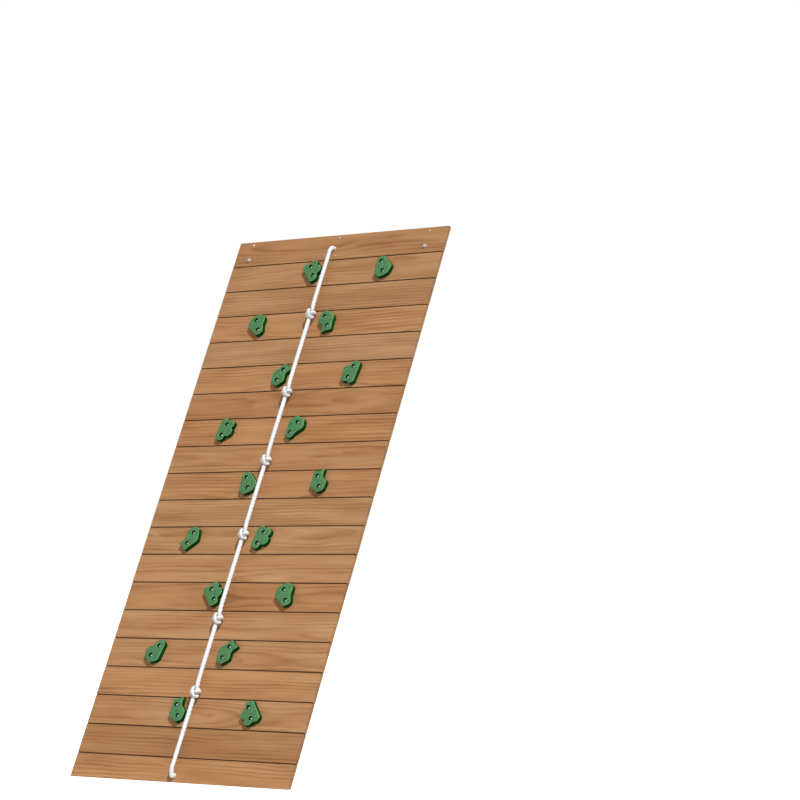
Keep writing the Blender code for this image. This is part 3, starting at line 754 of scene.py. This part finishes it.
# %% [markdown]
# One mould is made from its outline. The outline is offset into rings for the drafted side and the rounded
# edge. The face between the last ring and the two recesses is filled with triangles, because a clover cannot
# be filled from one middle point, and loose points between let the face swell a little.

# %% Fill between an outline and two holes
BOLT_SPACING = 0.057
BOLT_SPOTS = np.array([[0.0, BOLT_SPACING / 2], [0.0, -BOLT_SPACING / 2]])
HOLE_SHARE = 0.97
INSIDE_ONLY = 1
MERGE_DISTANCE = 1e-7


def filled(loops, loose, holes_radius, upward):
    """Triangles between an outer loop and two round holes, with loose points inside, as index triples."""
    counts = [len(loop) for loop in loops]
    starts = np.cumsum([0] + counts)
    edges = [(start + i, start + (i + 1) % count)
             for start, count in zip(starts.tolist(), counts) for i in range(count)]
    spots = np.concatenate([*loops, loose])
    found = delaunay_2d_cdt(spots.tolist(), edges, [list(range(counts[0]))], INSIDE_ONLY, MERGE_DISTANCE)
    tris = np.array(found[2])
    first = np.array([origin[0] for origin in found[3]])
    tris = first[tris]
    middle = spots[tris].mean(1)
    clear = np.linalg.norm(middle[:, None] - BOLT_SPOTS[None], axis=-1).min(1) > HOLE_SHARE * holes_radius
    tris = tris[clear]
    a, b, c = spots[tris[:, 0]], spots[tris[:, 1]], spots[tris[:, 2]]
    area = (b[:, 0] - a[:, 0]) * (c[:, 1] - a[:, 1]) - (b[:, 1] - a[:, 1]) * (c[:, 0] - a[:, 0])
    wrong = (area > 0) != upward
    tris[wrong] = tris[wrong][:, ::-1]
    return tris


# %% Recess of a bolt
HOLD_THICKNESS = 0.021
RECESS_DEPTH = 0.009
RECESS_RADIUS = 0.00975
RECESS_POINTS = 28
# Steps of the recess's rounded lip (outwards, down) and of the fillet at its floor (outwards, up)
RECESS_LIP = ((0.0008, 0.0), (0.0002, 0.0003), (0.0, 0.0010))
RECESS_FILLET = ((-0.0003, 0.0004), (-0.0008, 0.0))
BOLT_BORE_RADIUS = 0.0036


def recess_profile():
    """Rows (radius, height) from the recess's lip to its floor and on down the bolt's bore."""
    seat = HOLD_THICKNESS - RECESS_DEPTH
    lip = [(RECESS_RADIUS + out, HOLD_THICKNESS - down) for out, down in RECESS_LIP]
    fillet = [(RECESS_RADIUS + out, seat + up) for out, up in RECESS_FILLET]
    return np.array([*lip, *fillet, (BOLT_BORE_RADIUS, seat), (BOLT_BORE_RADIUS, FIT_GAP)])


# %% One mould
HOLD_EDGE = 0.0045
HOLD_EDGE_DROP = 0.0065
HOLD_EDGE_RINGS = 9
HOLD_DRAFT = 0.0015
HOLD_CROWN = 0.0012
CROWN_REACH = 0.010
GRIT_FADE = 0.0036
GRIT_LEAD = 1.1
FACE_REACH = 0.065
FACE_STEP = 0.0055
FACE_BAND = 0.0005
RECESS_MARGIN = 0.004
RIM_MARGIN = 0.003


def hold_shape(corners):
    """Rings up the drafted side and over the rounded edge, then a face with two recesses that swells by
    HOLD_CROWN * (1 - exp(-distance from the rim / CROWN_REACH)), and the grit of each point."""
    outline = rounded_outline(corners)
    bend = np.linspace(0.0, np.pi / 2, HOLD_EDGE_RINGS)
    offsets = np.concatenate([[HOLD_DRAFT], -HOLD_EDGE * (1 - np.cos(bend))])
    heights = np.concatenate([[FIT_GAP], HOLD_THICKNESS - HOLD_EDGE_DROP * (1 - np.sin(bend))])
    side = [np.column_stack([offset_outline(outline, d), np.full(OUTLINE_POINTS, z)])
            for d, z in zip(offsets, heights)]
    bore = recess_profile()
    hollow = swept(np.repeat(bore[:, :1], RECESS_POINTS, axis=1), bore[:, 1]).reshape(-1, 3)
    recesses = [hollow + (*spot, 0.0) for spot in BOLT_SPOTS]

    step = np.arange(-FACE_REACH, FACE_REACH, FACE_STEP)
    loose = np.stack(np.meshgrid(step, step), -1).reshape(-1, 2)
    rim = side[-1][:, :2]
    far = np.linalg.norm(loose[:, None] - BOLT_SPOTS[None], axis=-1).min(1) > RECESS_RADIUS + RECESS_MARGIN
    loose = loose[far & (depth_inside(loose, rim) > RIM_MARGIN)]

    shapes = [(np.concatenate(side), grid_faces(len(side), OUTLINE_POINTS))]
    shapes += [(recess, grid_faces(len(bore), RECESS_POINTS)) for recess in recesses]
    shapes.append((np.column_stack([loose, np.full(len(loose), HOLD_THICKNESS)]), []))
    points, faces = joined(shapes)
    starts = np.cumsum([0] + [len(shape[0]) for shape in shapes])
    top = np.concatenate([
        starts[0] + (len(side) - 1) * OUTLINE_POINTS + np.arange(OUTLINE_POINTS),
        starts[1] + np.arange(RECESS_POINTS), starts[2] + np.arange(RECESS_POINTS),
        starts[3] + np.arange(len(loose))])
    last = (len(bore) - 1) * RECESS_POINTS
    back = np.concatenate([
        starts[0] + np.arange(OUTLINE_POINTS), starts[1] + last + np.arange(RECESS_POINTS),
        starts[2] + last + np.arange(RECESS_POINTS)])
    face = filled([rim, recesses[0][:RECESS_POINTS, :2], recesses[1][:RECESS_POINTS, :2]], loose,
                  bore[0, 0], True)
    rear = filled([side[0][:, :2], recesses[0][last:, :2], recesses[1][last:, :2]], np.empty((0, 2)),
                  BOLT_BORE_RADIUS, False)
    faces += top[face].tolist() + back[rear].tolist()
    inner = depth_inside(points[:, :2], rim)
    on_face = points[:, 2] > HOLD_THICKNESS - FACE_BAND
    points[on_face, 2] += HOLD_CROWN * (1 - np.exp(-np.maximum(inner[on_face], 0) / CROWN_REACH))
    grit = np.clip((points[:, 2] - HOLD_THICKNESS) / GRIT_FADE + GRIT_LEAD, 0, 1)
    # The recess walls take the sides' dark colour, which carries painted shade
    grit[starts[1]:starts[3]] = 0.0
    grit[top] = 1.0
    return points, faces, grit


# %% [markdown]
# The plastic is a deep green, and the roughened face scatters light and looks paler and speckled. The smooth
# mould sides and the recesses are coloured darker, as painted shade, and the rounded rim palest of all, as a
# painted highlight. Two materials would meet in a hard line, so there is one, and a value stored on the mesh,
# called grit, says how rough it is and which of these colours it takes.

# %% Green plastic
# Real grit is a millimetre or two across. It is drawn coarser, to show from some metres away.
GRIT_SIZE = 0.0050
GRIT_DEPTH = 0.0010
SPECKLE_SPAN = (0.35, 0.65)
SKIN_SPAN = (0.25, 0.60)
# Painted highlight along the rounded rim: stops of (grit, strength)
RIM_HIGHLIGHT = ((0.45, 0.0), (0.68, 0.7), (0.85, 0.7))
MOULD_ROUGHNESS = (0.42, 0.72)


def green_plastic():
    """Green plastic: painted shade on the sides, a paler speckled face, a painted highlight on the rim."""
    material, tree = new_material("green_moulded_plastic")
    place = node(tree, "TexCoord")
    grit = node(tree, "Attribute", attribute_name="grit").outputs["Fac"]
    grains = node(tree, "TexNoise", {
        "Vector": place.outputs["Object"], "Scale": 1.0 / GRIT_SIZE, "Detail": 4.0, "Roughness": 0.7})
    speckle = node(tree, "MapRange", {
        "Value": grains, "From Min": SPECKLE_SPAN[0], "From Max": SPECKLE_SPAN[1]})
    rough = node(tree, "Mix", {
        "Factor": speckle, 6: linear("#2c5c33"), 7: linear("#66996a")}, data_type="RGBA")
    # The sides' dark green, with painted shade in it
    shaded_side_green = node(tree, "Mix", {
        "Factor": speckle, 6: linear("#02360b"), 7: linear("#044a13")}, data_type="RGBA")
    skin = node(tree, "MapRange", {"Value": grit, "From Min": SKIN_SPAN[0], "From Max": SKIN_SPAN[1]})
    colour = node(tree, "Mix", {
        "Factor": skin, 6: shaded_side_green.outputs[2], 7: rough.outputs[2]}, data_type="RGBA")
    # A painted highlight on the rounded rim, in a pale green
    rim = node(tree, "ValToRGB", {0: grit})
    for stop, glint in RIM_HIGHLIGHT:
        rim.color_ramp.elements.new(stop).color = (glint, glint, glint, 1.0)
    rim.color_ramp.elements[-1].color = (0.0, 0.0, 0.0, 1.0)
    colour = node(tree, "Mix", {
        "Factor": rim, 6: colour.outputs[2], 7: linear("#8fbb8e")}, data_type="RGBA")
    dull = node(tree, "MapRange", {
        "Value": grit, "To Min": MOULD_ROUGHNESS[0], "To Max": MOULD_ROUGHNESS[1]})
    height = node(tree, "Math", {0: grains, 1: grit}, operation="MULTIPLY")
    bump = node(tree, "Bump", {"Height": height, "Strength": 0.6, "Distance": GRIT_DEPTH})
    shader = node(tree, "BsdfPrincipled", {
        "Base Color": colour.outputs[2], "Roughness": dull, "Normal": bump,
        "IOR": 1.5, "Specular IOR Level": 0.06})
    node(tree, "OutputMaterial", {"Surface": shader})
    return material


# %% [markdown]
# The holds sit two by two on every second plank, one near the rope and one further out, changing sides from
# row to row. They could be linked copies, but each stands for its own node of the model, so every mesh gets
# its own points.

# %% Eighteen holds in place
HOLD_LINE = -0.012
HOLD_INNER = 0.087
HOLD_OUTER = 0.318
HOLD_RISE = 0.0048
PLANK_WIDTH = 0.1397
HOLD_ROWS = (
    ((CLOVER, 30), (TEARDROP, 23)), ((TEARDROP, 206), (FISHTAIL, 210)), ((FISHTAIL, -21), (CLOVER, 164)),
    ((CLOVER, -17), (TEARDROP, 152)), ((TEARDROP, 24), (FISHTAIL, 26)), ((FISHTAIL, 158), (CLOVER, -19)),
    ((CLOVER, 31), (TEARDROP, 206)), ((TEARDROP, -35), (FISHTAIL, -24)), ((FISHTAIL, 25), (CLOVER, 210)))

plastic = green_plastic()
moulds = {outline: hold_shape(outline) for outline in (TEARDROP, CLOVER, FISHTAIL)}
bolt_spots = []
for row, pair in enumerate(HOLD_ROWS):
    height = SLOPE_LENGTH - (2 * row + 1) * PLANK_PITCH - PLANK_WIDTH / 2 + HOLD_RISE
    columns = (-HOLD_INNER, HOLD_OUTER) if row % 2 == 0 else (-HOLD_OUTER, HOLD_INNER)
    for side, (column, (outline, degrees)) in enumerate(zip(columns, pair)):
        points, faces, grit = moulds[outline]
        c, s = math.cos(math.radians(degrees)), math.sin(math.radians(degrees))
        turned_by = np.array([[c, s], [-s, c]])
        middle = np.array([HOLD_LINE + column, height])
        bench = np.column_stack([points[:, :2] @ turned_by + middle, points[:, 2]])
        node_name = f"hold_{2 * row + side + 1:02d}"
        shape = leaned(bench), faces
        hold = add_piece(f"moulded_{node_name}", shape, plastic, [node_name])
        hold.data.attributes.new("grit", "FLOAT", "POINT").data.foreach_set("value", grit)
        bolt_spots.extend(BOLT_SPOTS @ turned_by + middle)
bolt_spots = np.array(bolt_spots)
print("holds:", 2 * len(HOLD_ROWS), "bolts:", len(bolt_spots))

# %% [markdown]
# ## Steel fasteners
# Every fastener is turned on one axis: a profile of radius against height, swept round. A wrench or a bit
# needs flats, so some rings of the profile are not round: a hexagon for a bolt head or socket, a cross for a
# screw. Cylinders cut by other shapes would need repairs at the seams, while a swept profile is closed from
# the start.

# %% Turned shapes
CROSS_ARM = 0.24
NICK_DEPTH = 0.22
NICK_WIDTH = 0.35


def hexagon(angle):
    """Radius of a hexagon with corners at 1, by angle."""
    return math.cos(math.pi / 6) / np.cos(np.mod(angle, math.pi / 3) - math.pi / 6)


def cross(angle):
    """Radius of a cross-shaped recess with arms of length 1, by angle."""
    fold = np.abs(np.mod(angle + math.pi / 4, math.pi / 2) - math.pi / 4)
    return np.minimum(1.0 / np.cos(fold), CROSS_ARM / np.maximum(np.sin(fold), TINY))


def tee_flange(angle):
    """Radius of a tee nut's flange, which is nicked at four places where its prongs are bent out."""
    return 1.0 - NICK_DEPTH * np.exp(-(np.sin(2 * angle) / NICK_WIDTH) ** 2)


def turned(profile, sides):
    """Sweep (radius, height, form) rows round the axis, with a pole closing each end."""
    angle = np.linspace(0, 2 * np.pi, sides, endpoint=False)
    reach = np.stack([
        radius * (form[0](angle) if form else np.ones(sides)) for radius, _, *form in profile])
    height = np.array([row[1] for row in profile])
    return capped(swept(reach, height), [[0, 0, height[0]], [0, 0, height[-1]]])


def repeated(shape, places):
    """Copies of one shape, each moved to its place on the bench, as one shape in the part's frame."""
    points, faces = joined([(shape[0] + place, shape[1]) for place in np.asarray(places, float)])
    return leaned(points), faces


# %% [markdown]
# Hardware for outdoors is steel with a thin coat of zinc. It is bright and slightly blue, and up close the
# plating is cloudy with small crystals, so one noise changes both its grey and its shine a little.

# %% Zinc-plated steel
CRYSTALS_PER_METRE = 420.0
ZINC_ROUGHNESS = (0.26, 0.46)


def zinc_steel():
    """Bright zinc plating: a clear metal shine, broken by faint cloudy crystals."""
    material, tree = new_material("zinc_plated_steel")
    place = node(tree, "TexCoord")
    cloud = node(tree, "TexNoise", {
        "Vector": place.outputs["Object"], "Scale": CRYSTALS_PER_METRE, "Detail": 3.0})
    colour = node(tree, "Mix", {
        "Factor": cloud, 6: linear("#b9bcc0"), 7: linear("#e3e5e8")}, data_type="RGBA")
    dull = node(tree, "MapRange", {
        "Value": cloud, "To Min": ZINC_ROUGHNESS[0], "To Max": ZINC_ROUGHNESS[1]})
    shader = node(tree, "BsdfPrincipled", {
        "Base Color": colour.outputs[2], "Metallic": 1.0, "Roughness": dull})
    node(tree, "OutputMaterial", {"Surface": shader})
    return material


steel = zinc_steel()

# %% [markdown]
# ## Hold bolts and tee nuts
# Each hold is pulled to its plank by two socket-head bolts, which reach into tee nuts hammered in from
# behind. All 36 of a kind are one mesh: they are small and alike, and nothing needs them apart.

# %% Hold bolts
BOLT_RADIUS = 0.0030
BOLT_END = -0.0240
BOLT_TIP = 0.8
BOLT_CHAMFER = 0.0008
BOLT_HEAD_RADIUS = 0.0058
BOLT_HEAD = 0.0042
# Shares (radius, height) of the head's domed side, and of the hexagon socket in it
BOLT_DOME = ((1.0, 0.0), (1.0, 0.25), (0.92, 0.62), (0.72, 0.90), (0.50, 1.0))
BOLT_SOCKET = ((0.42, 1.0), (0.42, 0.35))
BOLT_SIDES = 24

seat = HOLD_THICKNESS - RECESS_DEPTH + FIT_GAP
bolt = turned([
    (BOLT_TIP * BOLT_RADIUS, BOLT_END), (BOLT_RADIUS, BOLT_END + BOLT_CHAMFER), (BOLT_RADIUS, seat),
    *((wide * BOLT_HEAD_RADIUS, seat + high * BOLT_HEAD) for wide, high in BOLT_DOME),
    *((wide * BOLT_HEAD_RADIUS, seat + high * BOLT_HEAD, hexagon) for wide, high in BOLT_SOCKET)], BOLT_SIDES)
spots = np.column_stack([bolt_spots, np.zeros(len(bolt_spots))])
add_piece("hold_bolts", repeated(bolt, spots), steel)

# %% Tee nuts
NUT_BORE = 1.06
NUT_FLANGE_RADIUS = 0.0095
NUT_FLANGE = 0.0015
NUT_EDGE = (0.97, 0.6)
NUT_BARREL_RADIUS = 0.0046
NUT_BARREL = 0.010
NUT_SIDES = 40

back_face = -(PLANK_THICKNESS + FIT_GAP)
nut = turned([
    (NUT_BORE * BOLT_RADIUS, back_face - NUT_FLANGE),
    (NUT_EDGE[0] * NUT_FLANGE_RADIUS, back_face - NUT_FLANGE, tee_flange),
    (NUT_FLANGE_RADIUS, back_face - NUT_EDGE[1] * NUT_FLANGE, tee_flange),
    (NUT_FLANGE_RADIUS, back_face, tee_flange),
    (NUT_BARREL_RADIUS, back_face), (NUT_BARREL_RADIUS, back_face + NUT_BARREL)], NUT_SIDES)
add_piece("tee_nuts", repeated(nut, spots), steel)
print("hold bolts and tee nuts:", len(spots), "of each")

# %% [markdown]
# ## Screws
# Pan-head screws go in from behind, through the rails into the planks, so that no head shows on the face.
# They stand to the left and right of each rail's middle in turn, to keep the rail from splitting.

# %% Screws from behind
SCREW_RADIUS = 0.0024
SCREW_TIP = 0.0004
SCREW_POINT = 0.007
SCREW_HEAD_RADIUS = 0.0050
SCREW_HEAD = 0.0030
# Shares (radius, height) of the pan head's side, and of the cross recess in it
SCREW_PAN = ((1.0, 0.0), (1.0, 0.40), (0.88, 0.80), (0.66, 1.0))
SCREW_RECESS = ((0.56, 1.0), (0.34, 0.25))
SCREW_BITE = 0.012
SCREW_STAGGER = 0.014
REAR_SCREW_SIDES = 32
# The middle rail's lowest screw stands aside, clear of the rope's bore
FOOT_SCREW = (0.026, 0.094)


def screw_profile(length):
    """A pan-head screw standing on its seat at height 0, its point at minus its length."""
    pan = [(wide * SCREW_HEAD_RADIUS, high * SCREW_HEAD) for wide, high in SCREW_PAN]
    recess = [(wide * SCREW_HEAD_RADIUS, high * SCREW_HEAD, cross) for wide, high in SCREW_RECESS]
    return [(SCREW_TIP, -length), (SCREW_RADIUS, -length + SCREW_POINT), (SCREW_RADIUS, 0.0), *pan, *recess]


points, faces = turned(screw_profile(RAIL_THICKNESS + SCREW_BITE), REAR_SCREW_SIDES)
rear_screw = (points * (1.0, -1.0, -1.0), faces)
places = []
for plank in range(1, PLANK_COUNT):
    upper = SLOPE_LENGTH - plank * PLANK_PITCH
    width = LAST_PLANK if plank == PLANK_COUNT - 1 else PLANK_WIDTH
    for name, rail in RAIL_PLACES.items():
        at_foot = name == "middle" and plank == PLANK_COUNT - 1
        sideways = SCREW_STAGGER * (-1) ** plank
        spot = FOOT_SCREW if at_foot else (rail + sideways, upper - width / 2)
        places.append((*spot, RAIL_BACK - FIT_GAP))
add_piece("rail_screws", repeated(rear_screw, places), steel)
print("screws from behind:", len(places))

# %% [markdown]
# The top plank alone shows screws on its face: three near its upper edge and one below the rope's hole.
# They are the same kind of screw, so the same profile serves.

# %% Screws of the top plank
FASTENER_SHIFT = -0.007
TOP_SCREW_DROP = 0.020
LOW_SCREW_DROP = 0.118
SCREW_LENGTH = 0.049
TOP_SCREW_SIDES = 48
TOP_SCREWS = (
    ("top", "left", TOP_SCREW_DROP), ("top", "middle", TOP_SCREW_DROP), ("top", "right", TOP_SCREW_DROP),
    ("low", "middle", LOW_SCREW_DROP))

top_screw = turned(screw_profile(SCREW_LENGTH), TOP_SCREW_SIDES)
for row, rail, drop in TOP_SCREWS:
    spot = (RAIL_PLACES[rail] + FASTENER_SHIFT, SLOPE_LENGTH - drop, FIT_GAP)
    screw = f"{row}_screw_{rail}"
    add_piece(f"pan_head_{screw}", repeated(top_screw, [spot]), steel, [screw])
print("screws of the top plank:", len(TOP_SCREWS))

# %% [markdown]
# ## Lag bolts
# Two lag bolts with washers hold the top of the wall. Their thread is cut in the mesh, because the ends
# stand out behind the rails where a picture of a thread would show as flat.

# %% Lag bolt
LAG_DROP = 0.104
LAG_RADIUS = 0.00395
LAG_REACH = 0.055
LAG_THREAD = 0.060
LAG_RUN_OUT = 0.002
LAG_HEAD_RADIUS = 0.00735
LAG_HEAD = 0.0055
# Shares (radius, height) of the hexagon head, and of the round chamfer above it
LAG_HEXAGON = ((1.0, 0.0), (1.0, 0.80))
LAG_CHAMFER = ((0.86, 1.0), (0.55, 1.0))
LAG_SIDES = 36
THREAD_PITCH = 0.0032
THREAD_DEPTH = 0.0011
THREAD_FLANK = 0.28
THREAD_RINGS = 150
POINT_RADII = 3
POINT_SHARE = 0.12
POINT_TIP = 0.0005
WASHER = 0.0016


def lag_bolt():
    """A hex head on a shank whose lower part carries a screw thread: the radius falls and rises once per
    pitch along the axis, and the pattern climbs by one pitch per turn."""
    tip = RAIL_BACK - LAG_REACH
    seat = WASHER + 2 * FIT_GAP
    height = np.linspace(tip, tip + LAG_THREAD, THREAD_RINGS)
    angle = np.linspace(0, 2 * np.pi, LAG_SIDES, endpoint=False)
    climb = np.mod(height[:, None] / THREAD_PITCH - angle[None] / (2 * np.pi), 1.0)
    ridge = np.clip(1.0 - np.abs(climb - 0.5) / THREAD_FLANK, 0.0, 1.0)
    core = LAG_RADIUS - THREAD_DEPTH * (1.0 - ridge)
    fade = np.clip((height - tip) / (POINT_RADII * LAG_RADIUS), POINT_SHARE, 1.0)
    stem = swept(core * fade[:, None], height)
    head = [
        (LAG_RADIUS, tip + LAG_THREAD + LAG_RUN_OUT), (LAG_RADIUS, seat),
        *((wide * LAG_HEAD_RADIUS, seat + high * LAG_HEAD, hexagon) for wide, high in LAG_HEXAGON),
        *((wide * LAG_HEAD_RADIUS, seat + high * LAG_HEAD) for wide, high in LAG_CHAMFER)]
    crown, _ = turned(head, LAG_SIDES)
    rings = np.concatenate([stem, crown[:-2].reshape(-1, LAG_SIDES, 3)])
    return capped(rings, [[0, 0, tip - POINT_TIP], crown[-1]])


# %% Washers and lag bolts in place
WASHER_RADIUS = 0.00875
WASHER_CLEARANCE = 0.0005
WASHER_SOFT = 0.0003
WASHER_SIDES = 48


def washer():
    """A flat ring with softened outer edges: a closed profile swept round."""
    low, high = FIT_GAP, FIT_GAP + WASHER
    inner, outer, soft = LAG_RADIUS + WASHER_CLEARANCE, WASHER_RADIUS, WASHER_SOFT
    profile = np.array([
        (inner, low), (outer - soft, low), (outer, low + soft), (outer, high - soft), (outer - soft, high),
        (inner, high)])
    rings = swept(np.repeat(profile[:, :1], WASHER_SIDES, axis=1), profile[:, 1])
    return rings.reshape(-1, 3), grid_faces(len(profile), WASHER_SIDES, close_rows=True)


for side in ("left", "right"):
    spot = (RAIL_PLACES[side] + FASTENER_SHIFT, SLOPE_LENGTH - LAG_DROP, 0.0)
    for name, part, shape in (
            ("hex_lag_bolt", "lag_bolt", lag_bolt()), ("flat_washer", "lag_washer", washer())):
        add_piece(
            f"{name}_{side}", repeated(shape, [spot]), steel, [f"{part}_{side}"])
print("lag bolts reach", round(LAG_REACH * 1000), "mm past the rails")
